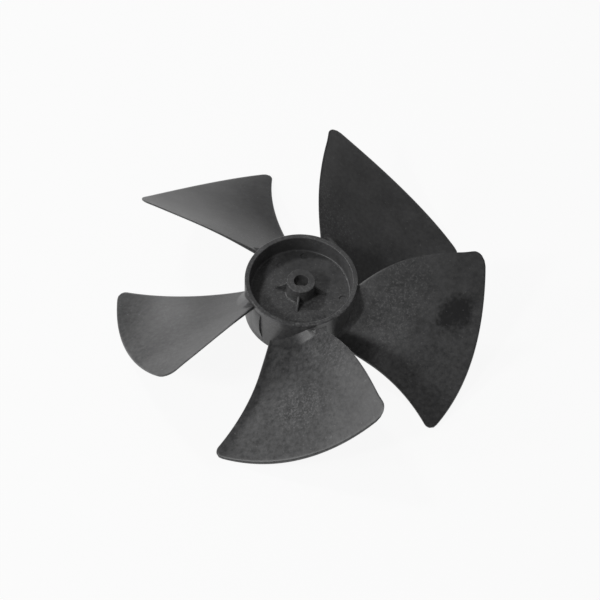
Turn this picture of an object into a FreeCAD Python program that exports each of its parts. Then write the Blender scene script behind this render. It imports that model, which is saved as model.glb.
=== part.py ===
import FreeCAD, Part
import math
import os

import Sketcher

# Axial fan impeller, one injection moulding: a cup-shaped hub with a D-bored boss
# and five swept, twisted and cambered blades around it.
# Frame: origin on the bore axis at the boss's front face, +Z towards the front of the fan,
# the bore's flat towards -Y. The first blade points along -Y.
# Millimetres and degrees.

NODE = "impeller"

# Every driving size, each written once.
# A text that starts with = is worked out by the sheet from the others.
SIZES = {
    # Hub shell. Heights are measured from the boss's front face.
    "hub_radius": 23.5,
    "hub_taper": 0.5,
    "hub_wall": 2.1,
    "hub_height": 21.4,
    "rim_proud": 0.7,
    "cup_depth": 8.05,
    "web_thickness": 2.2,
    "cup_draft": 0.45,
    "rim_chamfer": 0.35,
    "floor_chamfer": 0.6,
    "foot_chamfer": 0.3,
    "cut_past": 1.0,
    # Boss and its D bore.
    "boss_wall": 3.0,
    "boss_rear": 6.45,
    "boss_chamfer": 0.25,
    "boss_foot_chamfer": 0.6,
    "bore_radius": 3.0,
    "flat_cut": 0.6,
    # Gussets between the boss and the web, in front and behind.
    "gusset_count": 4,
    "gusset_thickness": 1.0,
    "gusset_foot": 5.0,
    "gusset_drop": 3.0,
    "gusset_angle": -5.5,
    "gusset_seat": 0.5,
    "rear_gusset_drop": 1.0,
    # Blades.
    "blade_count": 5,
    "tip_radius": 77.25,
    "root_overrun": 6.45,
    "tip_overrun": 2.5,
    "station_inner": 36.0,
    "station_outer": 57.0,
    # Height of the upper side over each station's middle.
    "height_root": -6.19,
    "height_inner": -8.96,
    "height_outer": -13.38,
    "height_tip": -21.26,
    # Pitch of the blade at each station's middle, from the plane of rotation.
    "pitch_angle_root": 39.3,
    "pitch_angle_inner": 36.2,
    "pitch_angle_outer": 27.2,
    "pitch_angle_tip": 23.1,
    # Radius of the camber at each station, hollow side to the front.
    "camber_root": 398.0,
    "camber_inner": 210.0,
    "camber_outer": 174.0,
    "camber_tip": 163.0,
    # Half the blade's width at each station, and how far past it the sheet is drawn.
    "breadth_root": 12.0,
    "breadth_inner": 20.0,
    "breadth_outer": 33.0,
    "breadth_tip": 44.0,
    "overhang_ratio": 1.2,
    # Thickness at the middle of each station and along the blade's edges.
    "thick_root": 2.4,
    "thick_inner": 2.0,
    "thick_outer": 1.8,
    "thick_tip": 1.6,
    "thick_edge": 1.0,
    # Planform of a blade: its two corners at the tip, and the points where its edges bend.
    "low_corner_angle": 24.9,
    "high_corner_angle": 29.2,
    "tip_edge_radius": 90.8,
    "low_bend_out": 34.5,
    "low_bend_side": 14.8,
    "low_edge_radius": 79.9,
    "high_bend_out": 41.1,
    "high_bend_side": 23.5,
    "high_outer_radius": 162.6,
    "high_inner_radius": 96.8,
    "low_corner_round": 3.0,
    "high_corner_round": 3.5,
    "trim_margin": 30.0,
    # Step left on the hub's wall by the two halves of the mould, beside each blade.
    "step_proud": 0.9,
    "step_top": -1.9,
    "step_start_angle": 14.0,
    "step_end_angle": 30.0,
    "step_fade": 0.1,
    # Ejector pin marks on the web.
    "pin_radius": 1.6,
    "pin_depth": 0.15,
    "top_pin_out": 17.8,
    "top_pin_angle": 88.0,
    "right_pin_out": 17.9,
    "right_pin_angle": -8.6,
    "left_pin_out": 15.2,
    "left_pin_angle": 126.0,
    # Worked out from the sizes above.
    "rim_top": "=rim_proud",
    "hub_foot_radius": "=hub_radius - hub_taper",
    "hub_bottom": "=rim_proud - hub_height",
    "rim_inner": "=hub_radius - hub_wall",
    "cup_inner": "=rim_inner - cup_draft",
    "foot_inner": "=hub_foot_radius - hub_wall",
    "web_top": "=rim_proud - cup_depth",
    "web_bottom": "=web_top - web_thickness",
    "rear_inner": "=foot_inner - cup_draft",
    "boss_radius": "=bore_radius + boss_wall",
    "boss_end": "=web_bottom - boss_rear",
    "bore_flat": "=bore_radius - flat_cut",
    "gusset_reach": "=boss_radius + gusset_foot",
    "root_seat": "=hub_radius - hub_wall / 2",
    "station_root": "=root_seat - root_overrun",
    "station_tip": "=tip_radius + tip_overrun",
    "low_corner_side": "=tip_radius * sin(low_corner_angle)",
    "low_corner_out": "=tip_radius * cos(low_corner_angle)",
    "high_corner_side": "=tip_radius * sin(high_corner_angle)",
    "high_corner_out": "=tip_radius * cos(high_corner_angle)",
    "trim_radius": "=tip_radius + trim_margin",
    "trim_length": "=tip_radius * 2",
    "boss_seat": "=boss_radius - gusset_seat",
    "bore_cut": "=hub_height * 4",
    "above_rim": "=rim_top + cut_past",
    "below_foot": "=hub_bottom - cut_past",
    "step_inside": "=hub_foot_radius - hub_wall / 2",
    "step_foot": "=hub_foot_radius - step_fade",
}

STATIONS = ("root", "inner", "outer", "tip")
PINS = ("top_pin", "right_pin", "left_pin")

# How near two places have to be to count as one.
NEAR = 0.001

for station in STATIONS:
    camber = f"camber_{station}"
    thick = f"thick_{station}"
    breadth = f"breadth_{station}"
    # The lower side is curved a little more, so the blade thins from its middle to its edges.
    SIZES[f"side_{station}"] = f"={breadth} * overhang_ratio"
    half_chord = f"({breadth} / cos(pitch_angle_{station}))"
    SIZES[f"under_{station}"] = (
        f"=1 / (1 / {camber} + 2 * ({thick} - thick_edge) / ({half_chord} * {half_chord}))"
    )

doc = FreeCAD.newDocument("axial_fan_impeller")


def make_sheet():
    sheet = doc.addObject("Spreadsheet::Sheet", "sizes")
    for row, (name, value) in enumerate(SIZES.items(), start=1):
        sheet.set(f"A{row}", name)
        sheet.set(f"B{row}", str(value))
        sheet.setAlias(f"B{row}", name)
    doc.recompute()
    return sheet


sheet = make_sheet()


def size(name):
    """The present value of a named size."""
    return float(getattr(sheet, name))


def bound(expression):
    """A formula in named sizes, as an expression on the sheet."""
    names = sorted(SIZES, key=len, reverse=True)
    out = ""
    word = ""
    for letter in expression + " ":
        if letter.isalnum() or letter == "_":
            word += letter
            continue
        out += f"sizes.{word}" if word in names else word
        out += letter
        word = ""
    return out.strip()


def value_of(expression):
    """The value of a formula in named sizes, to draw a sketch near its solution."""
    return float(doc.getObject("sizes").evalExpression(bound(expression).replace("sizes.", "")))


def new_sketch(body, name, role):
    sketch = body.newObject("Sketcher::SketchObject", name)
    plane = next(f for f in body.Origin.OriginFeatures if f.Role == role)
    sketch.AttachmentSupport = [(plane, "")]
    sketch.MapMode = "FlatFace"
    return sketch


def set_size(sketch, name, constraint, expression):
    """Add a sized constraint, give it a name and tie it to the sheet."""
    index = sketch.addConstraint(constraint)
    sketch.renameConstraint(index, name)
    sketch.setExpression(f"Constraints.{name}", bound(expression))


def hold_point(sketch, name, geometry, end, across, up):
    """Hold one end of a line or arc at a place given by two formulas."""
    place = (value_of(across), value_of(up))
    if abs(place[0]) < NEAR:
        sketch.addConstraint(Sketcher.Constraint("PointOnObject", geometry, end, -2))
    else:
        rule = Sketcher.Constraint("DistanceX", -1, 1, geometry, end, place[0])
        set_size(sketch, f"{name}_across", rule, across)
    if abs(place[1]) < NEAR:
        sketch.addConstraint(Sketcher.Constraint("PointOnObject", geometry, end, -1))
    else:
        rule = Sketcher.Constraint("DistanceY", -1, 1, geometry, end, place[1])
        set_size(sketch, f"{name}_up", rule, up)


def draw_polygon(sketch, corners):
    """A closed outline of straight lines through named corners."""
    points = [FreeCAD.Vector(value_of(x), value_of(y), 0) for _, x, y in corners]
    count = len(points)
    for i in range(count):
        sketch.addGeometry(Part.LineSegment(points[i], points[(i + 1) % count]), False)
    for i in range(count):
        sketch.addConstraint(Sketcher.Constraint("Coincident", i, 2, (i + 1) % count, 1))
    for i, (name, x, y) in enumerate(corners):
        hold_point(sketch, name, i, 1, x, y)


def axis_of(body, role):
    return next(f for f in body.Origin.OriginFeatures if f.Role == role)


def check(feature):
    """Work a feature out, and stop if it failed or changed nothing."""
    doc.recompute()
    bad = [state for state in feature.State if state in ("Invalid", "Error")]
    shape = feature.Shape
    if bad or shape.isNull() or not shape.isValid():
        raise RuntimeError(f"{feature.Name} failed: {feature.State}")
    before = feature.BaseFeature.Shape.Volume if feature.BaseFeature else 0.0
    change = shape.Volume - before
    cuts = feature.TypeId in ("PartDesign::Pocket", "PartDesign::Groove")
    adds = feature.TypeId in ("PartDesign::Pad", "PartDesign::Revolution")
    if (cuts and change > -NEAR) or (adds and change < NEAR):
        raise RuntimeError(f"{feature.Name} changed nothing")
    print(f"{feature.Name}: {change:+.2f} mm3, {len(shape.Faces)} faces")


def section(body, station):
    """One section across the blade: two arcs, closed by a short upright line at each side."""
    sketch = new_sketch(body, f"section_{station}", "XZ_Plane")
    sketch.setExpression("AttachmentOffset.Base.z", f"sizes.station_{station}")
    pitch = math.radians(size(f"pitch_angle_{station}"))
    side = size(f"side_{station}")
    arcs = []
    for radius, drop in (
        (size(f"camber_{station}"), 0.0),
        (size(f"under_{station}"), size(f"thick_{station}")),
    ):
        centre = FreeCAD.Vector(
            -(radius - drop) * math.sin(pitch),
            size(f"height_{station}") + (radius - drop) * math.cos(pitch),
            0,
        )
        start = -math.acos((-side - centre.x) / radius)
        finish = -math.acos((side - centre.x) / radius)
        circle = Part.Circle(centre, FreeCAD.Vector(0, 0, 1), radius)
        arcs.append(Part.ArcOfCircle(circle, start, finish))
    upper, lower = arcs
    sketch.addGeometry(upper, False)
    sketch.addGeometry(lower, False)
    sketch.addGeometry(Part.LineSegment(upper.StartPoint, lower.StartPoint), False)
    sketch.addGeometry(Part.LineSegment(upper.EndPoint, lower.EndPoint), False)
    for line, end in ((2, 1), (3, 2)):
        sketch.addConstraint(Sketcher.Constraint("Coincident", 0, end, line, 1))
        sketch.addConstraint(Sketcher.Constraint("Coincident", 1, end, line, 2))
        sketch.addConstraint(Sketcher.Constraint("Vertical", line))
    for arc, name, radius, drop in (
        (0, "upper", f"camber_{station}", "0"),
        (1, "lower", f"under_{station}", f"thick_{station}"),
    ):
        across = f"-({radius} - {drop}) * sin(pitch_angle_{station})"
        up = f"height_{station} + ({radius} - {drop}) * cos(pitch_angle_{station})"
        hold_point(sketch, name, arc, 3, across, up)
        rule = Sketcher.Constraint("Radius", arc, value_of(radius))
        set_size(sketch, f"{name}_radius", rule, radius)
    for line, name, sign in ((2, "low_side", "-"), (3, "high_side", "")):
        across = f"{sign}side_{station}"
        rule = Sketcher.Constraint("DistanceX", -1, 1, line, 1, value_of(across))
        set_size(sketch, name, rule, across)
    return sketch


def near_end(sketch, piece, place):
    """Which end of a piece of a sketch lies at a place: 1 is its start, 2 is its end."""
    start, finish = (sketch.getPoint(piece, end) - place for end in (1, 2))
    return 1 if start.Length < finish.Length else 2


def point_along(sketch, piece, place, distance):
    """The point of an arc that lies a distance in from the end that is at a place."""
    arc = sketch.Geometry[piece]
    turn = math.degrees(distance / arc.Radius)
    if near_end(sketch, piece, place) == 2:
        turn = -turn
    spoke = place - arc.Center
    return arc.Center + FreeCAD.Rotation(FreeCAD.Vector(0, 0, 1), turn).multVec(spoke)


def bulged(start, end, radius, side):
    """An arc of a given radius from start to end, bulging to the right for 1, left for -1."""
    chord = end - start
    sagitta = radius - math.sqrt(radius**2 - chord.Length**2 / 4)
    right = FreeCAD.Vector(chord.y, -chord.x, 0).normalize()
    centre = (start + end) / 2 - right * (radius - sagitta) * side
    first, last = (start, end) if side > 0 else (end, start)
    turn = [math.atan2(p.y - centre.y, p.x - centre.x) for p in (first, last)]
    if turn[1] < turn[0]:
        turn[1] += 2 * math.pi
    return Part.ArcOfCircle(Part.Circle(centre, FreeCAD.Vector(0, 0, 1), radius), *turn)


def trim_outline(body):
    """What is trimmed from the sheet: all that lies outside the planform of one blade."""
    sketch = new_sketch(body, "trim_outline", "XY_Plane")
    seat = size("root_seat")
    # The edges run on into the hub's wall, so these two places are only near their ends.
    low_root = FreeCAD.Vector(-seat / 2, -seat, 0).normalize() * seat
    high_root = FreeCAD.Vector(seat / 4, -seat, 0).normalize() * seat
    low_bend = FreeCAD.Vector(-size("low_bend_side"), -size("low_bend_out"), 0)
    high_bend = FreeCAD.Vector(size("high_bend_side"), -size("high_bend_out"), 0)
    low_corner = FreeCAD.Vector(-size("low_corner_side"), -size("low_corner_out"), 0)
    high_corner = FreeCAD.Vector(size("high_corner_side"), -size("high_corner_out"), 0)
    corners = (low_root, low_bend, low_corner, high_corner, high_bend, high_root)
    low_inner, low_outer, tip, high_outer, high_inner, root = range(len(corners))
    outline = (
        Part.LineSegment(low_root, low_bend),
        bulged(low_bend, low_corner, size("low_edge_radius"), -1),
        bulged(low_corner, high_corner, size("tip_edge_radius"), 1),
        bulged(high_corner, high_bend, size("high_outer_radius"), 1),
        bulged(high_bend, high_root, size("high_inner_radius"), 1),
        bulged(high_root, low_root, seat, -1),
    )
    sketch.addGeometry(list(outline), False)
    # The two corners at the tip are rounded, which also makes each round tangent to both edges.
    for name, edge, corner in (
        ("low_corner", low_outer, low_corner),
        ("high_corner", high_outer, high_corner),
    ):
        radius = size(f"{name}_round")
        inside = [point_along(sketch, piece, corner, 2 * radius) for piece in (edge, tip)]
        sketch.fillet(edge, tip, *inside, radius, True, False)
        rounded = sketch.GeometryCount - 1
        rule = Sketcher.Constraint("Radius", rounded, radius)
        set_size(sketch, f"{name}_round", rule, f"{name}_round")
        # The sharp corner stays as a point on both edges, and holds them in place.
        point = sketch.addGeometry(Part.Point(corner), True)
        sketch.addConstraint(Sketcher.Constraint("PointOnObject", point, 1, edge))
        sketch.addConstraint(Sketcher.Constraint("PointOnObject", point, 1, tip))
        sign = "-" if name == "low_corner" else ""
        hold_point(sketch, name, point, 1, f"{sign}{name}_side", f"-{name}_out")
    for before, after, place in (
        (low_inner, low_outer, low_bend),
        (high_outer, high_inner, high_bend),
        (high_inner, root, high_root),
        (root, low_inner, low_root),
    ):
        rule = "Tangent" if place in (low_bend, high_bend) else "Coincident"
        joined = (near_end(sketch, before, place), near_end(sketch, after, place))
        sketch.addConstraint(Sketcher.Constraint(rule, before, joined[0], after, joined[1]))
    for name, piece, place, across, up in (
        ("low_bend", low_outer, low_bend, "-low_bend_side", "-low_bend_out"),
        ("high_bend", high_inner, high_bend, "high_bend_side", "-high_bend_out"),
    ):
        hold_point(sketch, name, piece, near_end(sketch, piece, place), across, up)
    for piece, name in (
        (low_outer, "low_edge_radius"),
        (tip, "tip_edge_radius"),
        (high_outer, "high_outer_radius"),
        (high_inner, "high_inner_radius"),
        (root, "root_seat"),
    ):
        set_size(sketch, name, Sketcher.Constraint("Radius", piece, size(name)), name)
    sketch.addConstraint(Sketcher.Constraint("Coincident", root, 3, -1, 1))
    blank_circle = Part.Circle(FreeCAD.Vector(), FreeCAD.Vector(0, 0, 1), size("trim_radius"))
    blank = sketch.addGeometry(blank_circle, False)
    sketch.addConstraint(Sketcher.Constraint("Coincident", blank, 3, -1, 1))
    rule = Sketcher.Constraint("Radius", blank, size("trim_radius"))
    set_size(sketch, "trim_radius", rule, "trim_radius")
    return sketch


def ring_edges(shape, radius, height):
    """The round edges about the axis that have a given radius and height."""
    found = []
    for number, edge in enumerate(shape.Edges, start=1):
        box = edge.BoundBox
        if abs(box.ZMin - height) > NEAR or abs(box.ZMax - height) > NEAR:
            continue
        if not isinstance(edge.Curve, Part.Circle):
            continue
        on_axis = math.hypot(edge.Curve.Center.x, edge.Curve.Center.y) < NEAR
        if on_axis and abs(edge.Curve.Radius - radius) < NEAR:
            found.append(f"Edge{number}")
    return found


def add_chamfer(body, name, base, edges, reach):
    """A Chamfer of a named size along some edges of a feature."""
    if not edges:
        raise RuntimeError(f"{name}: no edge found")
    feature = body.newObject("PartDesign::Chamfer", name)
    feature.Base = (base, edges)
    feature.setExpression("Size", bound(reach))
    check(feature)
    return feature


def add_turned(body, kind, name, corners, turn=None):
    """A Revolution or Groove about the fan's axis, from a half section with named corners."""
    sketch = new_sketch(body, f"{name}_section", "XZ_Plane")
    if turn:
        sketch.AttachmentOffset = FreeCAD.Placement(
            FreeCAD.Vector(), FreeCAD.Rotation(FreeCAD.Vector(0, 1, 0), value_of(turn[0]))
        )
        sketch.setExpression("AttachmentOffset.Rotation.Angle", bound(turn[0]))
    draw_polygon(sketch, corners)
    doc.recompute()
    feature = body.newObject(f"PartDesign::{kind}", name)
    feature.Profile = sketch
    feature.ReferenceAxis = (sketch, ["V_Axis"])
    feature.Angle = 360
    if turn:
        feature.setExpression("Angle", bound(turn[1]))
        feature.Reversed = True
    check(feature)
    return feature


def add_pattern(body, name, base, count, whole=False):
    """Copies of a feature, or of the whole body so far, spaced evenly about the axis."""
    pattern = body.newObject("PartDesign::PolarPattern", name)
    if whole:
        pattern.TransformMode = "Whole shape"
    else:
        pattern.Originals = [base]
    pattern.Axis = (axis_of(body, "Z_Axis"), [""])
    pattern.Angle = 360
    pattern.setExpression("Occurrences", bound(count))
    body.Tip = pattern
    check(pattern)
    return pattern


def add_blade(body):
    """The first blade: a sheet lofted through the stations, trimmed to the planform."""
    sections = [section(body, station) for station in STATIONS]
    doc.recompute()
    loft = body.newObject("PartDesign::AdditiveLoft", "blade_sheet")
    loft.Profile = sections[0]
    loft.Sections = sections[1:]
    check(loft)
    outline = trim_outline(body)
    doc.recompute()
    trim = body.newObject("PartDesign::Pocket", "blade_trim")
    trim.Profile = outline
    trim.SideType = "Symmetric"
    trim.Length = size("trim_length")
    trim.setExpression("Length", bound("trim_length"))
    check(trim)
    return trim


def add_gussets(body, name, top, web, web_seat):
    """Small triangular ribs between the boss and one side of the web."""
    sketch = new_sketch(body, f"{name}_outline", "XZ_Plane")
    sketch.AttachmentOffset = FreeCAD.Placement(
        FreeCAD.Vector(), FreeCAD.Rotation(FreeCAD.Vector(0, 1, 0), size("gusset_angle"))
    )
    sketch.setExpression("AttachmentOffset.Rotation.Angle", bound("gusset_angle"))
    corners = (
        ("boss_top", "boss_seat", top),
        ("top", "boss_radius", top),
        ("foot", "gusset_reach", web),
        ("foot_seat", "gusset_reach", web_seat),
        ("boss_foot", "boss_seat", web_seat),
    )
    draw_polygon(sketch, corners)
    doc.recompute()
    gusset = body.newObject("PartDesign::Pad", name)
    gusset.Profile = sketch
    gusset.SideType = "Symmetric"
    gusset.Length = size("gusset_thickness")
    gusset.setExpression("Length", bound("gusset_thickness"))
    check(gusset)
    return add_pattern(body, f"{name}_round", gusset, "gusset_count")


def add_bore(body):
    """The D bore, right through the boss, with its flat towards -Y."""
    sketch = new_sketch(body, "bore_outline", "XY_Plane")
    radius = size("bore_radius")
    half_flat = math.acos(size("bore_flat") / radius)
    circle = Part.Circle(FreeCAD.Vector(), FreeCAD.Vector(0, 0, 1), radius)
    first = -math.pi / 2 + half_flat
    last = 3 * math.pi / 2 - half_flat
    wall = sketch.addGeometry(Part.ArcOfCircle(circle, first, last), False)
    ends = [sketch.getPoint(wall, end) for end in (2, 1)]
    flat = sketch.addGeometry(Part.LineSegment(*ends), False)
    sketch.addConstraint(Sketcher.Constraint("Coincident", wall, 3, -1, 1))
    sketch.addConstraint(Sketcher.Constraint("Coincident", wall, 2, flat, 1))
    sketch.addConstraint(Sketcher.Constraint("Coincident", wall, 1, flat, 2))
    sketch.addConstraint(Sketcher.Constraint("Horizontal", flat))
    set_size(sketch, "radius", Sketcher.Constraint("Radius", wall, radius), "bore_radius")
    rule = Sketcher.Constraint("DistanceY", -1, 1, flat, 1, -size("bore_flat"))
    set_size(sketch, "flat", rule, "-bore_flat")
    doc.recompute()
    bore = body.newObject("PartDesign::Pocket", "bore")
    bore.Profile = sketch
    bore.SideType = "Symmetric"
    bore.Length = size("bore_cut")
    bore.setExpression("Length", bound("bore_cut"))
    check(bore)
    return bore


def add_pin_marks(body):
    """The shallow round marks that the ejector pins leave on the web."""
    sketch = new_sketch(body, "pin_outline", "XY_Plane")
    sketch.setExpression("AttachmentOffset.Base.z", bound("web_top"))
    for name in PINS:
        across = f"{name}_out * cos({name}_angle)"
        up = f"{name}_out * sin({name}_angle)"
        centre = FreeCAD.Vector(value_of(across), value_of(up), 0)
        circle = Part.Circle(centre, FreeCAD.Vector(0, 0, 1), size("pin_radius"))
        mark = sketch.addGeometry(circle, False)
        hold_point(sketch, name, mark, 3, across, up)
        rule = Sketcher.Constraint("Radius", mark, size("pin_radius"))
        set_size(sketch, f"{name}_radius", rule, "pin_radius")
    doc.recompute()
    marks = body.newObject("PartDesign::Pocket", "pin_marks")
    marks.Profile = sketch
    marks.Length = size("pin_depth")
    marks.setExpression("Length", bound("pin_depth"))
    check(marks)
    return marks


def make_impeller():
    """The whole fan as one body, in the order in which its shapes depend on each other."""
    body = doc.addObject("PartDesign::Body", NODE)
    body.Label = NODE
    add_blade(body)
    add_turned(
        body,
        "Revolution",
        "drum",
        (
            ("top_middle", "0", "rim_top"),
            ("top", "hub_radius", "rim_top"),
            ("foot", "hub_foot_radius", "hub_bottom"),
            ("foot_middle", "0", "hub_bottom"),
        ),
    )
    # The lower half of the mould leaves the wall a little proud beside each blade.
    add_turned(
        body,
        "Revolution",
        "mould_step",
        (
            ("top_inside", "step_inside", "step_top"),
            ("top", "hub_radius + step_proud", "step_top"),
            ("foot", "step_foot", "hub_bottom"),
            ("foot_inside", "step_inside", "hub_bottom"),
        ),
        ("step_start_angle - 90", "step_end_angle - step_start_angle"),
    )
    add_pattern(body, "blades", None, "blade_count", whole=True)
    add_turned(
        body,
        "Groove",
        "cup",
        (
            ("boss_middle", "0", "0"),
            ("boss", "boss_radius", "0"),
            ("boss_foot", "boss_radius", "web_top"),
            ("floor", "cup_inner", "web_top"),
            ("rim", "rim_inner", "rim_top"),
            ("over_rim", "rim_inner", "above_rim"),
            ("over_middle", "0", "above_rim"),
        ),
    )
    rear = add_turned(
        body,
        "Groove",
        "rear_cup",
        (
            ("boss_middle", "0", "boss_end"),
            ("boss", "boss_radius", "boss_end"),
            ("boss_foot", "boss_radius", "web_bottom"),
            ("floor", "rear_inner", "web_bottom"),
            ("foot", "foot_inner", "hub_bottom"),
            ("under_foot", "foot_inner", "below_foot"),
            ("under_middle", "0", "below_foot"),
        ),
    )
    # The moulding's small round edges are drawn as chamfers.
    last = rear
    floor_edges = (("cup_inner", "web_top"), ("rear_inner", "web_bottom"))
    boss_foot = (("boss_radius", "web_top"), ("boss_radius", "web_bottom"))
    rim_edges = (("rim_inner", "rim_top"), ("hub_radius", "rim_top"))
    boss_edges = (("boss_radius", "0"), ("boss_radius", "boss_end"))
    for name, places, reach in (
        ("floor_edges", floor_edges, "floor_chamfer"),
        ("boss_foot", boss_foot, "boss_foot_chamfer"),
        ("rim_edges", rim_edges, "rim_chamfer"),
        ("boss_edges", boss_edges, "boss_chamfer"),
        ("foot_edges", (("foot_inner", "hub_bottom"),), "foot_chamfer"),
    ):
        edges = []
        for across, up in places:
            edges += ring_edges(last.Shape, value_of(across), value_of(up))
        last = add_chamfer(body, name, last, edges, reach)
    add_gussets(body, "front_gusset", "-gusset_drop", "web_top", "web_top - gusset_seat")
    add_gussets(
        body, "rear_gusset", "boss_end + rear_gusset_drop", "web_bottom", "web_bottom + gusset_seat"
    )
    add_bore(body)
    add_pin_marks(body)
    return body


body = make_impeller()

for thing in doc.Objects:
    faults = [state for state in thing.State if state in ("Invalid", "Error")]
    if faults:
        raise RuntimeError(f"{thing.Name} failed: {faults}")

shape = body.Shape
if shape.isNull() or not shape.isValid() or len(shape.Solids) != 1:
    raise RuntimeError(f"{NODE} is not one valid solid")
os.makedirs("parts", exist_ok=True)
shape.exportStep(f"parts/{NODE}.step")
print(f"{NODE}: {shape.Volume / 1000:.2f} cm3, {len(shape.Faces)} faces, box {shape.BoundBox}")
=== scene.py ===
# %% [markdown]
# # A moulded fan impeller
# One piece of black plastic: a cup-shaped hub with a D-bored boss, and five blades that sweep,
# twist and curve. The packed solids give the frame. Everything below is drawn in millimetres with
# the same origin, the centre of the boss's front face, and each mesh is then made in metres.

import math

import bmesh
import bpy
import numpy as np
from mathutils import Matrix, Vector


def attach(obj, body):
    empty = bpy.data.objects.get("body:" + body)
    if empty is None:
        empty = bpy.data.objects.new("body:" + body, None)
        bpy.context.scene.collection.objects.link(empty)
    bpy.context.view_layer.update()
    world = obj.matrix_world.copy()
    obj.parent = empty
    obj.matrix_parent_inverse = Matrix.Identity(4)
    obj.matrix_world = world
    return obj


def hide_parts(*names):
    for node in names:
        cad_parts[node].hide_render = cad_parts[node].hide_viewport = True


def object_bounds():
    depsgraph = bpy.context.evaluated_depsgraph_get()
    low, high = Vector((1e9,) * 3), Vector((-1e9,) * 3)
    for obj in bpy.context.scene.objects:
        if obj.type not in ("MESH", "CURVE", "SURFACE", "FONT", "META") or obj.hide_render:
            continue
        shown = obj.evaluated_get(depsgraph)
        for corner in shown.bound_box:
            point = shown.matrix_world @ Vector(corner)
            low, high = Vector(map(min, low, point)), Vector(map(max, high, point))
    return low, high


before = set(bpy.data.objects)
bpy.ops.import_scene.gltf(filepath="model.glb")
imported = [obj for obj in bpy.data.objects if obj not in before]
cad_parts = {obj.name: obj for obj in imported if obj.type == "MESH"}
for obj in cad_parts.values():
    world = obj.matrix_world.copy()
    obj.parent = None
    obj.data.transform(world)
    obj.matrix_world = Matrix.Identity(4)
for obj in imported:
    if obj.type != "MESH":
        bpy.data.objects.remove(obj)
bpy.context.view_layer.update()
MM, CUBIC_CM = 0.001, 0.000001

# %% [markdown]
# ## The blade as a surface
# The blade is a thin sheet whose slope falls from the hub to the tip, as on any fan: the tip moves
# faster, so it needs less pitch for the same flow. Four cross sections, each an arc, fix it.
# A cubic through the four gives every height between them, which is smoother than a subdivided
# cage and needs no fitting by eye. The lower side is a second set of arcs, further below the first
# in the middle of the blade than at its edges.

# %% Sections of the blade
# How far out each section lies, the height of its middle, its pitch, the radius of its arc, half
# the width that the arc spans, and the blade's thickness in the middle.
SECTIONS = {
    "out": np.array([16.0, 36.0, 57.0, 79.75]),
    "height": np.array([-6.19, -8.96, -13.38, -21.26]),
    "pitch": np.radians([39.3, 36.2, 27.2, 23.1]),
    "camber": np.array([398.0, 210.0, 174.0, 163.0]),
    "half_width": np.array([14.4, 24.0, 39.6, 52.8]),
    "thickness": np.array([2.4, 2.0, 1.8, 1.6]),
}
EDGE_THICKNESS = 1.0
# The arcs span this many times the blade's own width, so they reach past its outline.
SPAN_FACTOR = 1.2


def section_weights(out):
    """How much each section counts at a distance out from the axis: a cubic through the four."""
    stations = SECTIONS["out"]
    weights = []
    for i, own in enumerate(stations):
        others = np.delete(stations, i)
        weights.append(np.prod([(out - other) / (own - other) for other in others], axis=0))
    return np.array(weights)


print("weights of the sections 50 mm out:", section_weights(np.array(50.0)).round(2))

# %% Height of the blade over its plan
# Rounds of Newton's method that find the point of an arc over a place.
SEARCH_ROUNDS = 8


def blade_height(side, out, under=False):
    """Height of the blade's upper or lower side over a place of its plan."""
    pitch, half = SECTIONS["pitch"], SECTIONS["half_width"]
    radius, drop = SECTIONS["camber"], np.zeros(4)
    if under:
        drop = SECTIONS["thickness"]
        half_chord = half / SPAN_FACTOR / np.cos(pitch)
        radius = 1 / (1 / radius + 2 * (drop - EDGE_THICKNESS) / half_chord**2)
    centre_side = -(radius - drop) * np.sin(pitch)
    centre_up = SECTIONS["height"] + (radius - drop) * np.cos(pitch)
    first = -np.arccos((-half - centre_side) / radius)
    last = -np.arccos((half - centre_side) / radius)
    weights = section_weights(np.asarray(out, float))
    share = np.full(np.shape(side), 0.5)
    column = (slice(None),) + (None,) * np.ndim(side)
    for _ in range(SEARCH_ROUNDS):
        turn = first[column] + share * (last - first)[column]
        across = (weights * (centre_side[column] + radius[column] * np.cos(turn))).sum(0)
        speed = (weights * (-radius[column] * np.sin(turn) * (last - first)[column])).sum(0)
        share = share + (side - across) / speed
    turn = first[column] + share * (last - first)[column]
    return (weights * (centre_up[column] + radius[column] * np.sin(turn))).sum(0)


print("blade's height 50 mm out:", round(float(blade_height(np.array(0.0), np.array(50.0))), 2))

# %% [markdown]
# ## The blade's outline
# Seen along the axis, a blade starts narrow at the hub and widens to the tip. Its low edge sweeps
# forward in one long curve, its high edge bows out, and both corners at the tip are rounded. It
# could be traced with a curve object. Arcs with a given radius, the way a draughtsman would
# dimension it, are exact and easy to change, so the outline is drawn from those.

# %% Arcs
ARC_POINTS = 160


def round_from(centre, start, end, radius, count):
    """Points round a centre, the shorter way from one place to another."""
    first = math.atan2(*(start - centre)[::-1])
    last = math.atan2(*(end - centre)[::-1])
    sweep = (last - first + math.pi) % (2 * math.pi) - math.pi
    turns = first + np.linspace(0, 1, count) * sweep
    return centre + radius * np.column_stack([np.cos(turns), np.sin(turns)])


def arc(start, end, radius, side, count=ARC_POINTS):
    """Points of an arc between two places, bulging to the right of its way for 1, left for -1."""
    chord = end - start
    length = np.linalg.norm(chord)
    right = np.array([chord[1], -chord[0]]) / length
    depth = math.sqrt(radius**2 - length**2 / 4)
    centre = (start + end) / 2 - right * depth * side
    return round_from(centre, start, end, radius, count)


def carry_on(line, radius, length):
    """Points of an arc that runs on smoothly from the end of a line, turning left."""
    way = line[-1] - line[-2]
    way /= np.linalg.norm(way)
    centre = line[-1] + radius * np.array([-way[1], way[0]])
    turns = math.atan2(-way[0], way[1]) + np.linspace(0, length / radius, ARC_POINTS)
    return centre + radius * np.column_stack([np.cos(turns), np.sin(turns)])


print("middle of a small arc:", arc(np.zeros(2), np.array([2.0, 0.0]), 1.25, 1, 3)[1].round(3))

# %% Rounded corners
CORNER_POINTS = 17


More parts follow.
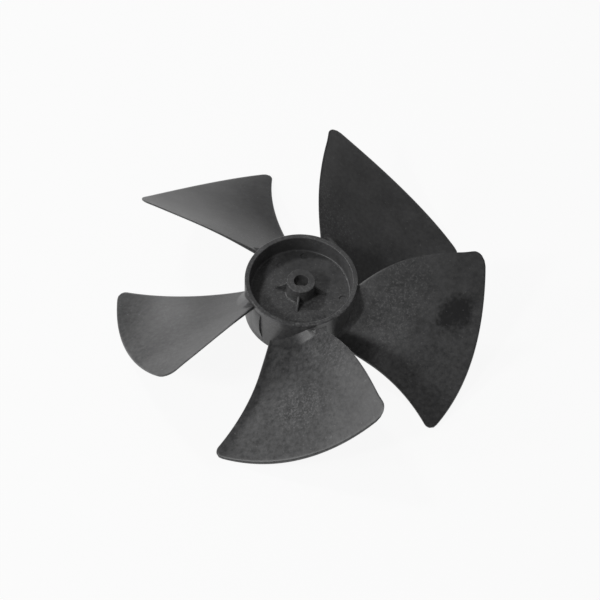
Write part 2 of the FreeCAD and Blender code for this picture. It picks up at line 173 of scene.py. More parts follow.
def beside(points, towards, distance):
    """A line moved sideways, towards a place."""
    way = np.gradient(points, axis=0)
    normal = np.column_stack([-way[:, 1], way[:, 0]])
    normal /= np.linalg.norm(normal, axis=1)[:, None]
    sign = np.sign(((towards - points.mean(0)) * normal[len(points) // 2]).sum())
    return points + sign * distance * normal


def rounded(before, after, radius):
    """Round the corner where two lines meet: what is left of the first, the arc, the second."""
    a, b = beside(before, after.mean(0), radius), beside(after, before.mean(0), radius)
    gaps = np.linalg.norm(a[:, None] - b[None], axis=2)
    i, j = np.unravel_index(gaps.argmin(), gaps.shape)
    corner = round_from((a[i] + b[j]) / 2, before[i], after[j], radius, CORNER_POINTS)
    return before[:i], corner, after[j + 1:]


level = np.column_stack([np.linspace(0, 9, 91), np.zeros(91)])
upright = level[:, ::-1] + (9, 0)
print("a corner's round starts at:", rounded(level, upright, 2.0)[1][0].round(2))

# %% Draw the outline
TIP_RADIUS = 77.25
# The tip's corners, in degrees from the blade's middle, and where each long edge bends.
LOW_CORNER, HIGH_CORNER = -24.9, 29.2
LOW_BEND, HIGH_BEND = np.array([-14.8, -34.5]), np.array([23.5, -41.1])
# The arcs' radii, and how far each edge runs in from its bend to the hub.
LOW_ARC, TIP_ARC, HIGH_ARC, HIGH_INNER_ARC = 79.9, 90.8, 162.6, 96.8
LOW_RUN, HIGH_RUN = 20.0, 28.0
RUN_POINTS, TIP_POINTS = 120, 400
# The radii of the rounds at the tip's two corners.
LOW_ROUND, HIGH_ROUND = 3.0, 4.5
# The high edge turns out by this much, this far from its corner, over about this width.
FLARE, FLARE_AT, FLARE_WIDTH = 0.45, 4.0, 3.5


def at_tip(angle):
    """A place on the tip's circle."""
    return TIP_RADIUS * np.array([math.sin(math.radians(angle)), -math.cos(math.radians(angle))])


def flared(points):
    """Turn the high edge out a little just before its corner, as on the real blades."""
    back = np.linalg.norm(points - points[0], axis=1)
    way = np.gradient(points, axis=0)
    out = np.column_stack([-way[:, 1], way[:, 0]]) / np.linalg.norm(way, axis=1)[:, None]
    return points - out * (FLARE * np.exp(-((back - FLARE_AT) / FLARE_WIDTH) ** 2))[:, None]


low_outer = arc(LOW_BEND, at_tip(LOW_CORNER), LOW_ARC, -1)
run_in = LOW_BEND - low_outer[1]
low_root = LOW_BEND + run_in / np.linalg.norm(run_in) * LOW_RUN
low_inner = np.linspace(low_root, LOW_BEND, RUN_POINTS)[:-1]
tip = arc(at_tip(LOW_CORNER), at_tip(HIGH_CORNER), TIP_ARC, 1, TIP_POINTS)
high_outer = arc(at_tip(HIGH_CORNER), HIGH_BEND, HIGH_ARC, 1)
high_inner = carry_on(high_outer, HIGH_INNER_ARC, HIGH_RUN)[1:]

low_edge, low_round, tip = rounded(np.vstack([low_inner, low_outer]), tip, LOW_ROUND)
high_edge = flared(np.vstack([high_outer, high_inner]))
tip, high_round, high_edge = rounded(tip, high_edge, HIGH_ROUND)
middle = CORNER_POINTS // 2
low_side = np.vstack([low_edge, low_round[:middle + 1]])
tip_side = np.vstack([low_round[middle:], tip, high_round[:middle + 1]])
high_side = np.vstack([high_round[middle:], high_edge])[::-1]
print("outline points:", len(low_side), len(tip_side), len(high_side))

# %% [markdown]
# ## The blade as a mesh
# A sheet with rounded edges could be a plane with Solidify and Bevel modifiers, but those follow
# a trimmed, twisted outline badly. So a grid is stretched between the four sides of the outline
# (a Coons patch): its lines follow the edges and flow into the rounded corners. The rim gets a
# small round above and below. Near the hub the upper side rises to the wall in a nearly straight
# ramp with a crisp outer edge, which catches the light on the real moulding, and the lower side
# meets the wall in a small round.

# %% The sides of the outline
HUB_RADIUS, HUB_FOOT_RADIUS = 23.5, 23.0
# The blade starts this far inside the hub's foot, within the wall.
SINK = 0.6
# The rim is rounded over this much of the plan.
RIM_REACH = 1.1
# A side's direction is taken this far before and after a place, as a share of its length.
LOOK = 0.004


def clip_to_hub(points):
    """The part of a side that starts just inside the hub's wall."""
    return points[np.argmax(np.linalg.norm(points, axis=1) > HUB_FOOT_RADIUS - SINK):]


def walk(points, shares):
    """Places along a line of points, at given shares of its length, and the line's direction."""
    steps = np.linalg.norm(np.diff(points, axis=0), axis=1)
    reach = np.concatenate([[0], np.cumsum(steps)]) / steps.sum()

    def at(wanted):
        return np.column_stack([np.interp(wanted, reach, points[:, k]) for k in (0, 1)])

    way = at(np.clip(shares + LOOK, 0, 1)) - at(np.clip(shares - LOOK, 0, 1))
    return at(shares), way / np.linalg.norm(way, axis=1)[:, None]


def inset(side, shares):
    """Places along a side, and the same places moved in by the rim's round."""
    points, outwards = side
    outer, way = walk(points, shares)
    out = np.column_stack([way[:, 1], -way[:, 0]]) * outwards
    return outer, outer - RIM_REACH * out


# Each side with 1 where outwards is to the right of its way, and -1 where it is to the left.
LOW, TIP, HIGH = (clip_to_hub(low_side), 1), (tip_side, 1), (clip_to_hub(high_side), -1)
print("middle of the tip's side:", inset(TIP, np.array([0.5]))[0].round(2))

# %% Stretch the grid
def coons(s, t):
    """Places of the plan for shares s along the blade and t across it."""
    low_at, high_at, tip_at = inset(LOW, s)[1], inset(HIGH, s)[1], inset(TIP, t)[1]
    starts = [inset(side, np.zeros(1))[1][0] for side in (LOW, HIGH)]
    ends = [inset(side, np.ones(1))[1][0] for side in (LOW, HIGH)]
    turn = [math.atan2(*place[::-1]) for place in starts]
    far = [np.linalg.norm(place) for place in starts]
    angle = turn[0] + (turn[1] - turn[0]) * t
    spokes = np.column_stack([np.cos(angle), np.sin(angle)])
    root_at = (far[0] + (far[1] - far[0]) * t)[:, None] * spokes
    s, t = s[:, None, None], t[None, :, None]
    grid = (1 - t) * low_at[:, None] + t * high_at[:, None]
    grid = grid + (1 - s) * root_at[None] + s * tip_at[None]
    grid = grid - (1 - s) * ((1 - t) * starts[0] + t * starts[1])
    return grid - s * ((1 - t) * ends[0] + t * ends[1])


print("middle of the blade in plan:", coons(np.array([0.5]), np.array([0.5])).round(2).ravel())

# %% Rows, close together over the root
RIM_TOP, HUB_BOTTOM = 0.7, -20.7
ROWS, COLUMNS = 86, 40
# The root's ramp: how far it reaches out from the wall and how far it rises there, at some shares
# of the way from the blade's low edge to its high edge.
ROOT_SHARES = (0.0, 0.2, 0.4, 0.65, 0.85, 0.93, 1.0)
ROOT_REACH = (0.8, 2.1, 3.2, 4.2, 3.9, 3.0, 1.0)
ROOT_RISE = (0.3, 1.2, 1.8, 2.3, 2.2, 1.6, 0.5)
# Where rows of the grid lie on the ramp, from inside the wall outwards, as shares of its reach.
ROOT_STEPS = (-0.2, 0.0, 0.08, 0.17, 0.27, 0.38, 0.5, 0.63, 0.77, 0.9, 1.0)
# The ramp lies within this share of the blade's length, which is looked at in so many places.
ROOT_PART, ROOT_PLACES = 0.25, 400


def hub_wall_at(z):
    """The hub's outer radius at a height: the wall leans in slightly towards its foot."""
    return HUB_RADIUS - (HUB_RADIUS - HUB_FOOT_RADIUS) * (RIM_TOP - z) / (RIM_TOP - HUB_BOTTOM)


def row_shares(t):
    """Shares along the blade for each row and column of the grid."""
    fine = np.linspace(0, ROOT_PART, ROOT_PLACES)
    grid = coons(fine, t)
    height = blade_height(grid[..., 0], -grid[..., 1])
    clear = np.linalg.norm(grid, axis=2) - hub_wall_at(height)
    shares = np.zeros((ROWS, COLUMNS))
    for j, reach in enumerate(np.interp(t, ROOT_SHARES, ROOT_REACH)):
        near = np.interp(np.array(ROOT_STEPS) * reach, clear[:, j], fine)
        rest = np.linspace(0, 1, ROWS - len(near) + 1)[1:]
        shares[:, j] = np.concatenate([near, near[-1] + (1 - near[-1]) * rest])
    return shares


across = np.linspace(0, 1, COLUMNS)
along = row_shares(across)
plan = np.stack([coons(along[:, j], across)[:, j] for j in range(COLUMNS)], axis=1)
print("rows and columns of the plan:", plan.shape[:2])

# %% Upper side, lower side and rim
# The rim's round falls by this much above and below. Its points lie at these shares of its curve.
RIM_DROP = 0.45
UPPER_SHARES, LOWER_SHARES = (0.2, 0.45, 0.72, 1.0), (0.0, 0.28, 0.55, 0.8)


def lift(places, under=False):
    """Plan places with the blade's height."""
    height = blade_height(places[..., 0], -places[..., 1], under)
    return np.concatenate([places, height[..., None]], axis=-1)


def border(grid):
    """What lies along a grid's low side, tip and high side, in that order."""
    return np.concatenate([grid[:, 0], grid[-1, 1:-1], grid[::-1, -1]])


def bezier(a, corner, b, share):
    """A point on the quadratic curve that rounds a corner."""
    return (1 - share) ** 2 * a + 2 * share * (1 - share) * corner + share**2 * b


def rim_band():
    """The rounded rim: for each place along it, points from the upper side to the lower."""
    low_rim, tip_rim = inset(LOW, along[:, 0])[0], inset(TIP, across)[0]
    high_rim = inset(HIGH, along[:, -1])[0]
    outer = np.vstack([low_rim, tip_rim[1:-1], high_rim[::-1]])
    inner = border(plan)
    fall = np.array([0.0, 0.0, RIM_DROP])
    top, foot = lift(outer), lift(outer, True)
    band = [bezier(lift(inner), top, top - fall, share) for share in UPPER_SHARES]
    band += [bezier(foot + fall, foot, lift(inner, True), share) for share in LOWER_SHARES]
    return np.stack(band, axis=1)


upper, lower, rim = lift(plan), lift(plan, True), rim_band()
print("thickness in the middle:", round(float((upper - lower)[ROWS // 2, COLUMNS // 2, 2]), 2))

# %% Ramp and round at the root
# The ramp is bent a little by this power, and it stays this far below the hub's rim.
RAMP_POWER, RIM_CLEAR = 1.1, 0.4
# Radius of the round between the lower side and the wall.
UNDER_ROUND = 1.0


def swell_root():
    """Raise the upper side in a ramp towards the wall, and round the lower side down to it."""
    room = RIM_TOP - RIM_CLEAR - upper[1, :, 2]
    height = np.minimum(np.interp(across, ROOT_SHARES, ROOT_RISE), room)
    reach = np.interp(across, ROOT_SHARES, ROOT_REACH)
    half = rim.shape[1] // 2
    for i, step in enumerate(ROOT_STEPS):
        rise = (1 - max(step, 0)) ** RAMP_POWER * height
        under = np.clip(1 - step * reach / UNDER_ROUND, 0, 1)
        drop = UNDER_ROUND * (1 - np.sqrt(1 - under**2))
        upper[i, :, 2] += rise
        lower[i, :, 2] -= drop
        for place, column in ((i, 0), (len(rim) - 1 - i, -1)):
            rim[place, :half, 2] += rise[column]
            rim[place, half:, 2] -= drop[column]
    return height


print("ramp's rise, mm:", swell_root()[::8].round(2))

# %% From points to an object
def quads(numbers):
    """The faces of a grid of vertex numbers."""
    a, b, c, d = numbers[:-1, :-1], numbers[1:, :-1], numbers[1:, 1:], numbers[:-1, 1:]
    return np.stack([a, b, c, d], axis=-1).reshape(-1, 4).tolist()


def new_object(name, points, faces):
    """A mesh object in metres from points in millimetres, with its faces turned outwards."""
    mesh = bpy.data.meshes.new(name)
    mesh.from_pydata((np.asarray(points) * MM).tolist(), [], faces)
    mesh.validate()
    piece = bpy.data.objects.new(name, mesh)
    bpy.context.scene.collection.objects.link(piece)
    shell = bmesh.new()
    shell.from_mesh(mesh)
    bmesh.ops.recalc_face_normals(shell, faces=shell.faces)
    if shell.calc_volume(signed=True) < 0:
        bmesh.ops.reverse_faces(shell, faces=shell.faces)
    open_edges = sum(1 for edge in shell.edges if not edge.is_manifold)
    volume = shell.calc_volume() / CUBIC_CM
    print(f"{name}: {len(shell.faces)} faces, {open_edges} open edges, {volume:.2f} cm3")
    shell.to_mesh(mesh)
    shell.free()
    return piece


def blade_faces():
    """Faces of the closed blade: upper side, lower side, rim and the end inside the hub."""
    top = np.arange(ROWS * COLUMNS).reshape(ROWS, COLUMNS)
    foot = top + ROWS * COLUMNS
    edge = 2 * ROWS * COLUMNS + np.arange(rim.shape[0] * rim.shape[1]).reshape(rim.shape[:2])
    strip = np.column_stack([border(top), edge, border(foot)])
    faces = quads(top) + [face[::-1] for face in quads(foot)]
    for here, there in zip(strip[:-1].tolist(), strip[1:].tolist()):
        for m in range(len(here) - 1):
            faces.append([here[m], here[m + 1], there[m + 1], there[m]])
    for a, b, c, d in zip(top[0, :-1], top[0, 1:], foot[0, 1:], foot[0, :-1]):
        faces.append([int(a), int(b), int(c), int(d)])
    return faces + [strip[0].tolist(), strip[-1, ::-1].tolist()]


points = np.vstack([part.reshape(-1, 3) for part in (upper, lower, rim)])
blade = new_object("blade", points, blade_faces())

# %% [markdown]
# ## The hub
# The hub is turned from one outline: an H on its side, with a web between an open front cup and a
# hollow back, and a boss through the middle. A Screw modifier could turn it, but the bore isn't
# round: it is a D. So the lathe is written out, and the bore's points take their distance from
# the angle.

# %% The hub's outline
BORE_RADIUS, BORE_FLAT = 3.0, 2.4
WEB_TOP, WEB_BOTTOM, BOSS_RADIUS, BOSS_END = -7.35, -9.55, 6.0, -16.0
# The inner wall's radius on the web and at its open end, in front and at the back.
CUP_FLOOR_RADIUS, CUP_MOUTH_RADIUS = 20.95, 21.4
BACK_FLOOR_RADIUS, BACK_MOUTH_RADIUS = 20.45, 20.9
# Radius, height and round of each corner, from the bore's mouth out over the front, down the
# outer wall and in over the back.
HUB_PROFILE = [
    (BORE_RADIUS, 0.0, 0.12),
    (BOSS_RADIUS, 0.0, 0.35),
    (BOSS_RADIUS, WEB_TOP, 0.7),
    (CUP_FLOOR_RADIUS, WEB_TOP, 0.8),
    (CUP_MOUTH_RADIUS, RIM_TOP, 0.4),
    (HUB_RADIUS, RIM_TOP, 0.4),
    (HUB_FOOT_RADIUS, HUB_BOTTOM, 0.3),
    (BACK_MOUTH_RADIUS, HUB_BOTTOM, 0.3),
    (BACK_FLOOR_RADIUS, WEB_BOTTOM, 0.8),
    (BOSS_RADIUS, WEB_BOTTOM, 0.7),
    (BOSS_RADIUS, BOSS_END, 0.3),
    (BORE_RADIUS, BOSS_END, 0.12),
]
ROUND_POINTS = 7
# A point this far past each round keeps the shading of the flat beside it even.
FLAT_START = 0.1


def round_corner(before, corner, after, radius):
    """Points of the arc that rounds one corner of an outline."""
    a = (before - corner) / np.linalg.norm(before - corner)
    b = (after - corner) / np.linalg.norm(after - corner)
    half_angle = math.acos(float(np.clip(a @ b, -1, 1))) / 2
    reach = radius / math.tan(half_angle)
    centre = corner + (a + b) / np.linalg.norm(a + b) * radius / math.sin(half_angle)
    curve = round_from(centre, corner + a * reach, corner + b * reach, radius, ROUND_POINTS)
    return [corner + a * (reach + FLAT_START), *curve, corner + b * (reach + FLAT_START)]


corners = np.array([corner[:2] for corner in HUB_PROFILE])
hub_outline = np.array([
    point
    for k, (_, _, radius) in enumerate(HUB_PROFILE)
    for point in round_corner(corners[k - 1], corners[k], corners[(k + 1) % len(corners)], radius)
])
print("points of the hub's outline:", len(hub_outline))

# %% Turn the hub
TURNS = 240
# The bore's flat faces this way.
FLAT_WAY = 1.5 * math.pi


def turned_hub():
    """Vertices and faces of the hub."""
    half_flat = math.acos(BORE_FLAT / BORE_RADIUS)
    even = np.linspace(0, 2 * math.pi, TURNS, endpoint=False)
    angles = np.sort(np.concatenate([even, [FLAT_WAY - half_flat, FLAT_WAY + half_flat]]))
    points = []
    for angle in angles:
        down = -math.sin(angle)
        bore = min(BORE_RADIUS, BORE_FLAT / down) if down > 0 else BORE_RADIUS
        for r, z in hub_outline:
            # The bore is a D and the boss is round, so the flat fades out from one to the other.
            share = np.clip((BOSS_RADIUS - r) / (BOSS_RADIUS - BORE_RADIUS), 0, 1)
            reach = r - (BORE_RADIUS - bore) * share
            points.append((reach * math.cos(angle), reach * math.sin(angle), z))
    numbers = np.arange(len(points)).reshape(len(angles), -1)
    return points, quads(np.pad(numbers, ((0, 1), (0, 1)), mode="wrap"))


hub = new_object("hub", *turned_hub())

# %% [markdown]
# ## Ribs
# Four small ribs brace the boss on each side of the web. Each is a flat prism, so its outline and
# its thickness say it all. One of each kind is enough here, because they are repeated later.

# %% Draw one rib of each kind
RIB_HALF, RIB_TURN = 0.42, -5.5
# A rib starts inside the boss, runs level for a little, slopes to the web and sinks into it.
RIB_ROOT, RIB_LEVEL, RIB_END, RIB_SINK = 5.4, 6.1, 11.0, 0.5
FRONT_RIB_START, REAR_RIB_START = -3.0, -15.0


def rib(name, start, web, sink):
    """A rib between a height on the boss and a face of the web."""
    outline = [(RIB_ROOT, start), (RIB_LEVEL, start), (RIB_END, web)]
    outline += [(RIB_END, web + sink), (RIB_ROOT, web + sink)]
    count = len(outline)
    points = [(r, side, z) for side in (-RIB_HALF, RIB_HALF) for r, z in outline]
    faces = [list(range(count)), list(range(count, 2 * count))[::-1]]
    for k in range(count):
        after = (k + 1) % count
        faces.append([k, k + count, after + count, after])
    return new_object(name, points, faces)


front_rib = rib("front_rib", FRONT_RIB_START, WEB_TOP, -RIB_SINK)
rear_rib = rib("rear_rib", REAR_RIB_START, WEB_BOTTOM, RIB_SINK)

# %% [markdown]
# ## Mould steps
# Beside each blade the two halves of the mould left a low step on the hub's wall. It starts flush
# with the wall and swells away from it round the hub, so it is a grid of points on the wall's own
# cone, once inside the wall and once proud of it.

# %% Draw one step
# Its top and foot, how proud it stands, and the degrees round the hub where it starts and ends.
STEP_TOP, STEP_FOOT, STEP_PROUD = -1.9, -18.0, 0.85
STEP_START, STEP_END = -76.0, -60.5
# Below this height its end moves on by so many degrees for each millimetre.
STEP_SWEEP_TOP, STEP_SWEEP = -12.0, 0.55
# How deep it sits in the wall, and how far under the wall its outer side starts.
STEP_SINK, STEP_BED = 0.4, 0.05
# Powers that move its fullest place up a little and fill it out above and below.
STEP_PEAK, STEP_FULL = 0.8, 0.7
STEP_ROWS, STEP_COLUMNS = 24, 15


def step_mesh():
    """Vertices and faces of the low step: it rises and dies away downwards."""
    points = []
    for inside in (True, False):
        for z in np.linspace(STEP_TOP, STEP_FOOT, STEP_ROWS):
            down = (STEP_TOP - z) / (STEP_TOP - STEP_FOOT)
            end = STEP_END + max(0.0, (STEP_SWEEP_TOP - z) * STEP_SWEEP)
            bulge = STEP_PROUD * math.sin(math.pi * down**STEP_PEAK) ** STEP_FULL
            for share in np.linspace(0, 1, STEP_COLUMNS):
                angle = math.radians(STEP_START + (end - STEP_START) * share)
                proud = -STEP_SINK if inside else bulge * share - STEP_BED
                radius = hub_wall_at(z) + proud
                points.append((radius * math.cos(angle), radius * math.sin(angle), z))
    inner = np.arange(STEP_ROWS * STEP_COLUMNS).reshape(STEP_ROWS, STEP_COLUMNS)
    outer = inner + inner.size
    ring = np.concatenate([inner[0], inner[1:, -1], inner[-1, -2::-1], inner[-2:0:-1, 0]]).tolist()
    faces = quads(inner) + quads(outer)
    for a, b in zip(ring, ring[1:] + ring[:1]):
        faces.append([a, b, b + inner.size, a + inner.size])
    return points, faces


step = new_object("mould_step", *step_mesh())

# %% [markdown]
# ## Pin marks
# Three round pins pushed the moulding out of its mould and left shallow marks on the cup's floor.
# Rods are drawn here, and a Boolean modifier takes them out of the web later, because a round
# dent doesn't fit the rings of the lathe.

# %% Draw the rods that cut the marks
# How far out and at what angle each mark lies.
PINS = ((17.8, 88.0), (17.9, -8.6), (15.2, 126.0))
PIN_RADIUS, PIN_DEPTH, PIN_SIDES = 1.6, 0.35, 40
ROD_TOP = WEB_TOP + 1.0


def pin_cutters():
    """Vertices and faces of round rods that reach a little way into the web."""
    points, faces = [], []
    turns = np.linspace(0, 2 * math.pi, PIN_SIDES, endpoint=False)
    ring = [(PIN_RADIUS * math.cos(t), PIN_RADIUS * math.sin(t)) for t in turns]
    for out, angle in PINS:
        x, y = out * math.cos(math.radians(angle)), out * math.sin(math.radians(angle))
        low = list(range(len(points), len(points) + PIN_SIDES))
        high = [k + PIN_SIDES for k in low]
        for z in (WEB_TOP - PIN_DEPTH, ROD_TOP):
            points += [(x + right, y + up, z) for right, up in ring]
        faces += [low[::-1], high]
        faces += [[low[k - 1], low[k], high[k], high[k - 1]] for k in range(PIN_SIDES)]
    return points, faces


pins = new_object("pin_cutters", *pin_cutters())

# %% [markdown]
# ## Nodes as Python expressions
# A node tree that is built by hand needs many lines for a simple sum. A small class wraps a
# node's output and overloads the usual operators, so that 1 - mask adds its own Math node. Any
# other node comes from one helper.

# %% Wrap a node's output
class Socket:
    """A value in a node tree, with which sums can be written."""

    def __init__(self, tree, socket):
        self.tree, self.socket = tree, socket

    def math(self, operation, *values):
        inputs = {f"_{k}": value for k, value in enumerate(values)}
        return add_node(self.tree, "ShaderNodeMath", {"operation": operation}, **inputs)

    def root(self):
        return self.math("SQRT", self)

    def __add__(self, other):
        return self.math("ADD", self, other)

    def __sub__(self, other):
        return self.math("SUBTRACT", self, other)

    def __rsub__(self, other):
        return self.math("SUBTRACT", other, self)

    def __mul__(self, other):
        return self.math("MULTIPLY", self, other)

    def __truediv__(self, other):
        return self.math("DIVIDE", self, other)

    def __rtruediv__(self, other):
        return self.math("DIVIDE", other, self)

    __radd__, __rmul__ = __add__, __mul__


def add_node(tree, kind, settings=None, output=0, **inputs):
    """Add a node: its settings first, then values or links for its sockets.

    A socket is given by its number after an underscore, or by its name.
    """
    made = tree.nodes.new(kind)
    for name, value in (settings or {}).items():
        setattr(made, name, value)
    for name, value in inputs.items():
        key = int(name[1:]) if name.startswith("_") else name.replace("_", " ")
        if isinstance(value, Socket):
            tree.links.new(value.socket, made.inputs[key])
        else:
            made.inputs[key].default_value = value
    return Socket(tree, made.outputs[output])


def end_tree(tree, kind, result):
    """Add the node that a tree ends in."""
    tree.links.new(result.socket, tree.nodes.new(kind).inputs[0])
    print(kind, "ends a tree of", len(tree.nodes), "nodes")


print("operators:", [name for name in vars(Socket) if name.startswith("__r")])

# %% [markdown]
# ## Repeat round the axis
# Blades, ribs and steps repeat round the axis at even angles, which is a rule, so Geometry Nodes do
# it. One small tree takes the piece, how many there are and the first turn, and every kind of
# piece uses it. The result is made a plain mesh, because an export drops instances.

# %% Geometry Nodes: a ring of copies
RING_INPUTS = {"Piece": "Geometry", "Count": "Int", "First turn": "Float", "Finish": "Material"}


def ring_tree():
    """A tree that sets copies of a piece round the axis and gives them a material."""
    tree = bpy.data.node_groups.new("ring_of_copies", "GeometryNodeTree")
    for name, kind in RING_INPUTS.items():
        tree.interface.new_socket(name, in_out="INPUT", socket_type="NodeSocket" + kind)
    tree.interface.new_socket("Ring", in_out="OUTPUT", socket_type="NodeSocketGeometry")
    given = tree.nodes.new("NodeGroupInput").outputs
    piece, count, first_turn, finish = (Socket(tree, given[name]) for name in RING_INPUTS)
    points = add_node(tree, "GeometryNodePoints", _0=count)
    turn = add_node(tree, "GeometryNodeInputIndex") / count * (2 * math.pi) + first_turn
    rotation = add_node(tree, "ShaderNodeCombineXYZ", _2=turn)
    copies = add_node(tree, "GeometryNodeInstanceOnPoints", _0=points, _2=piece, _5=rotation)
    real = add_node(tree, "GeometryNodeRealizeInstances", _0=copies)
    ring = add_node(tree, "GeometryNodeSetMaterial", _0=real, _2=finish)
    end_tree(tree, "NodeGroupOutput", ring)
    return tree


RING = ring_tree()

# %% Modifiers, made plain meshes at once
def as_mesh(piece):
    """Replace a piece's mesh by what its modifiers make of it, and take them off."""
    graph = bpy.context.evaluated_depsgraph_get()
    made = bpy.data.meshes.new_from_object(piece.evaluated_get(graph))
    piece.modifiers.clear()
    piece.data = made
    print(piece.name, "has", len(made.polygons), "faces")


def repeat(piece, count, first_turn, finish):
    """Set copies of a piece round the axis. Inputs go by identifier, not by name."""
    modifier = piece.modifiers.new("ring", "NODES")
    modifier.node_group = RING
    values = {"Count": count, "First turn": math.radians(first_turn), "Finish": finish}
    for item in RING.interface.items_tree:
        if item.name in values and item.in_out == "INPUT":
            modifier[item.identifier] = values[item.name]
    piece.data.update()
    as_mesh(piece)


def soften(piece, width):
    """Round a piece's sharp edges a little."""
    modifier = piece.modifiers.new("round", "BEVEL")
    modifier.width = width * MM
    modifier.segments = 2
    modifier.limit_method = "ANGLE"
    as_mesh(piece)


def cut(piece, cutter):
    """Take one piece's form out of another."""
    modifier = piece.modifiers.new("cut", "BOOLEAN")
    modifier.operation = "DIFFERENCE"
    modifier.object = cutter
    as_mesh(piece)
    bpy.data.objects.remove(cutter)


RIB_ROUND, STEP_ROUND = 0.15, 0.12
cut(hub, pins)
soften(front_rib, RIB_ROUND)
soften(rear_rib, RIB_ROUND)
soften(step, STEP_ROUND)

# %% [markdown]
# ## The finish
# The moulding is black plastic with a matte skin. A photograph wrapped round it would need seams.
# Instead, noise on Object coordinates runs through the form: up close the skin is faintly mottled,
# as such plastics are where they cooled unevenly, with fine scuffs and a little pale dust.

# %% Black moulded plastic
DARK, PALE = (0.024, 0.024, 0.025, 1), (0.140, 0.140, 0.141, 1)
# How fine each pattern is.
MOTTLE, CLOUD, GRAIN, BLOTCH, SCUFF, SPECK = 520.0, 60.0, 2600.0, 34.0, 1100.0, 900.0
# Where a rubbed spot and a dark patch lie, in metres, the way that the patch is turned, and how
# fast it ends across that way and along it.
SPOT, PATCH = (0.002, -0.055), (0.0645, -0.0062)
PATCH_WAY, PATCH_ENDS = (0.93, 0.36), (11000.0, 19000.0)
# How high the grain stands, in metres, and how strongly it shows.
RELIEF, RELIEF_STRENGTH = 0.00006, 0.25


def new_material(name):
    material = bpy.data.materials.new(name)
    material.use_nodes = True
    material.node_tree.nodes.clear()
    return material, material.node_tree


def moulded_black():
    material, tree = new_material("moulded_black_plastic")
    place = add_node(tree, "ShaderNodeTexCoord", output=3)
    apart = add_node(tree, "ShaderNodeSeparateXYZ", _0=place).socket.node.outputs
    x, y = Socket(tree, apart[0]), Socket(tree, apart[1])

    def noise(scale, detail, roughness=0.5):
        sizes = {"Scale": scale, "Detail": detail, "Roughness": roughness}
        return add_node(tree, "ShaderNodeTexNoise", Vector=place, **sizes)

    def ramp(value, low, high):
        """0 below one value, 1 above another, smooth between."""
        smooth = {"interpolation_type": "SMOOTHSTEP"}
        return add_node(tree, "ShaderNodeMapRange", smooth, _0=value, _1=low, _2=high)

    mottle, cloud = noise(MOTTLE, 6.0, 0.7) - 0.5, noise(CLOUD, 3.0) - 0.5
    speck = ramp(noise(SPECK, 1.0), 0.74, 0.78)
    # The blades at the front have been handled more.
    worn = 1 - ramp(y, -0.035, 0.02)
    # Fine scuffs gather in blotches on the blades' inner halves, and most in one rubbed spot.
    inner_half = 1 - ramp((x * x + y * y).root(), 0.044, 0.064)
    right, up = x - SPOT[0], y - SPOT[1]
    spot = 1 - ramp((right * right + up * up).root(), 0.001, 0.014)
    rubbed = ramp(noise(BLOTCH, 2.0), 0.38, 0.60) * inner_half + spot * 2.0
    scuff = ramp(noise(SCUFF, 4.0, 0.7), 0.50, 0.70) * rubbed
    # One blade is darker in a patch near the tip.
    right, up = x - PATCH[0], y - PATCH[1]
    across = right * PATCH_WAY[0] + up * PATCH_WAY[1]
    along = up * PATCH_WAY[0] - right * PATCH_WAY[1]
    far = (across * across * PATCH_ENDS[0] + along * along * PATCH_ENDS[1]).root()
    patch = 1 - ramp(far + cloud * 1.3 + mottle * 0.3, 0.3, 1.2)

    tone = mottle * (worn * 0.8 + 0.8) + cloud * 0.8 + 0.45
    tone = tone + scuff * 0.9 + speck * 1.5 - patch * 0.5
    blend = {"data_type": "RGBA", "clamp_factor": True}
    colour = add_node(tree, "ShaderNodeMix", blend, output=2, _0=tone, _6=DARK, _7=PALE)
    sizes = {"Strength": RELIEF_STRENGTH, "Distance": RELIEF}
    height = noise(GRAIN, 2.0) + mottle * 0.8
    bump = add_node(tree, "ShaderNodeBump", Height=height, **sizes)
    roughness = 0.38 + mottle * 0.2 + scuff * 0.1
    surface = add_node(
        tree, "ShaderNodeBsdfPrincipled", Base_Color=colour, Roughness=roughness, Normal=bump,
    )
    end_tree(tree, "ShaderNodeOutputMaterial", surface)
    return material


black = moulded_black()

# %% [markdown]
# ## Put the moulding together
# The copies are made, and hub, blades, ribs and steps become one mesh, as the real piece is one
# moulding. Edges sharper than a limit stay crisp, and all others are shaded smooth. The piece
# takes the place of the impeller solid, which is hidden.

# %% Make the copies and join them
BLADES, RIBS = 5, 4
SHARP_ANGLE = 38


def join(target, others):
    """Put other pieces' meshes into one piece's mesh."""
    shell = bmesh.new()
    for piece in [target, *others]:
        shell.from_mesh(piece.data)
    shell.to_mesh(target.data)
    shell.free()
    for piece in others:
        bpy.data.objects.remove(piece)


repeat(blade, BLADES, 0.0, black)
repeat(front_rib, RIBS, RIB_TURN, black)
repeat(rear_rib, RIBS, RIB_TURN, black)
repeat(step, BLADES, 0.0, black)
hub.data.materials.append(black)
join(hub, [blade, front_rib, rear_rib, step])
impeller = hub
impeller.name = "impeller_moulding"
impeller.data.shade_smooth()
impeller.data.set_sharp_from_angle(angle=math.radians(SHARP_ANGLE))
print("triangles:", sum(len(p.vertices) - 2 for p in impeller.data.polygons))
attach(impeller, "root")
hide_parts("impeller")

# %% [markdown]
# ## Floor
# The fan lies on its low blade corners on a plain white floor. A matte white plane alone would
# look grey under these lamps. So what the camera and reflections see of it is mostly an even glow,
# and a small share of the lit matte surface keeps the soft shadow. A Light Path node tells the
# kinds of ray apart for a Mix Shader.

# %% Lay the floor
FLOOR_HALF, FLOOR_GREY, FLOOR_GLOW = 3.0, 0.86, 0.92
floor_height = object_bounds()[0].z


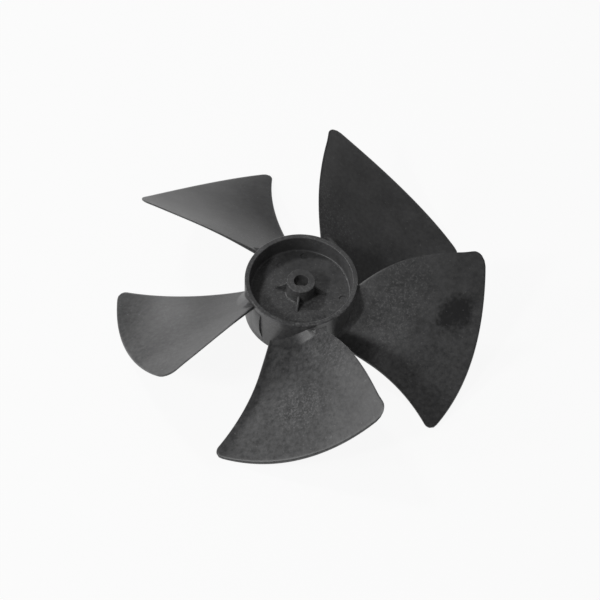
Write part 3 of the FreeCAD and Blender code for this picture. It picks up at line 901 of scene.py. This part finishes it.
def floor_material():
    material, tree = new_material("white_floor")
    grey = (FLOOR_GREY, FLOOR_GREY, FLOOR_GREY, 1)
    lit = add_node(tree, "ShaderNodeBsdfDiffuse", Color=grey)
    glow = add_node(tree, "ShaderNodeEmission", Color=(1, 1, 1, 1), Strength=1.0)
    camera_rays = add_node(tree, "ShaderNodeLightPath", output=0)
    glossy_rays = add_node(tree, "ShaderNodeLightPath", output=3)
    seen = camera_rays.math("MAXIMUM", camera_rays, glossy_rays)
    surface = add_node(tree, "ShaderNodeMixShader", _0=seen * FLOOR_GLOW, _1=lit, _2=glow)
    end_tree(tree, "ShaderNodeOutputMaterial", surface)
    return material


floor_mesh = bpy.data.meshes.new("floor")
floor_corners = [(x * FLOOR_HALF, y * FLOOR_HALF) for x, y in ((-1, -1), (1, -1), (1, 1), (-1, 1))]
floor_mesh.from_pydata([(x, y, floor_height) for x, y in floor_corners], [], [(0, 1, 2, 3)])
floor = bpy.data.objects.new("floor", floor_mesh)
bpy.context.scene.collection.objects.link(floor)
floor.data.materials.append(floor_material())
print("floor's height, mm:", round(floor_height / MM, 2))

# %% [markdown]
# ## Light
# The left blades shine softly and the right ones stay dark, so the light comes from the left:
# one soft box is low on that side, two are higher, in front of it and behind it, and a wide low
# one at the back draws the far edges. A Sun lamp would make harder edges than the real shine has.

# %% Hang the lamps
WORLD_STRENGTH, LAMP_DISTANCE = 0.14, 1.4
# Name, direction from the object, size and power of each.
LAMPS = (
    ("left", (-0.86, -0.22, 0.4), 0.28, 3.7),
    ("left_front", (-0.56, -0.46, 0.68), 0.2, 5.2),
    ("left_back_high", (-0.48, 0.42, 0.76), 0.2, 4.6),
    ("back_low", (-0.3, 0.95, 0.15), 0.5, 1.9),
)
scene = bpy.context.scene
scene.view_settings.view_transform = "Standard"
scene.world = bpy.data.worlds.new("studio")
scene.world.use_nodes = True
background = scene.world.node_tree.nodes["Background"]
background.inputs[0].default_value = (1, 1, 1, 1)
background.inputs[1].default_value = WORLD_STRENGTH


def soft_light(name, way, size, watts):
    """A round soft box in a given direction from the object, turned towards it."""
    lamp = bpy.data.lights.new(name, "AREA")
    lamp.shape = "DISK"
    lamp.size = size
    lamp.energy = watts
    holder = bpy.data.objects.new(name, lamp)
    scene.collection.objects.link(holder)
    place = Vector(way).normalized() * LAMP_DISTANCE
    holder.location = place
    holder.rotation_euler = (-place).to_track_quat("-Z", "Y").to_euler()


for lamp in LAMPS:
    soft_light(*lamp)
print("lamps:", [lamp[0] for lamp in LAMPS])

# %% [markdown]
# ## Camera
# The photograph was taken from far away, looking down steeply. A long lens from the same place
# gives the same flat perspective, and a short one from nearby would make the front blade too big.

# %% Set the camera
SENSOR_WIDTH, LENS = 36, 247.54
CAMERA_PLACE, CAMERA_TILT, CAMERA_ROLL = (-0.000007, -0.9884, 1.3961), 35.03, 3.5

camera = bpy.data.objects.new("camera", bpy.data.cameras.new("camera"))
camera.data.sensor_width = SENSOR_WIDTH
camera.data.lens = LENS
scene.collection.objects.link(camera)
tilt = Matrix.Rotation(math.radians(CAMERA_TILT), 4, "X")
roll = Matrix.Rotation(math.radians(CAMERA_ROLL), 4, "Z")
camera.matrix_world = Matrix.Translation(CAMERA_PLACE) @ tilt @ roll
scene.camera = camera
print("camera's distance, m:", round(camera.matrix_world.translation.length, 3))

# %% [markdown]
# ## Close the script
# The view layer is brought up to date.

# %% Finish
bpy.context.view_layer.update()
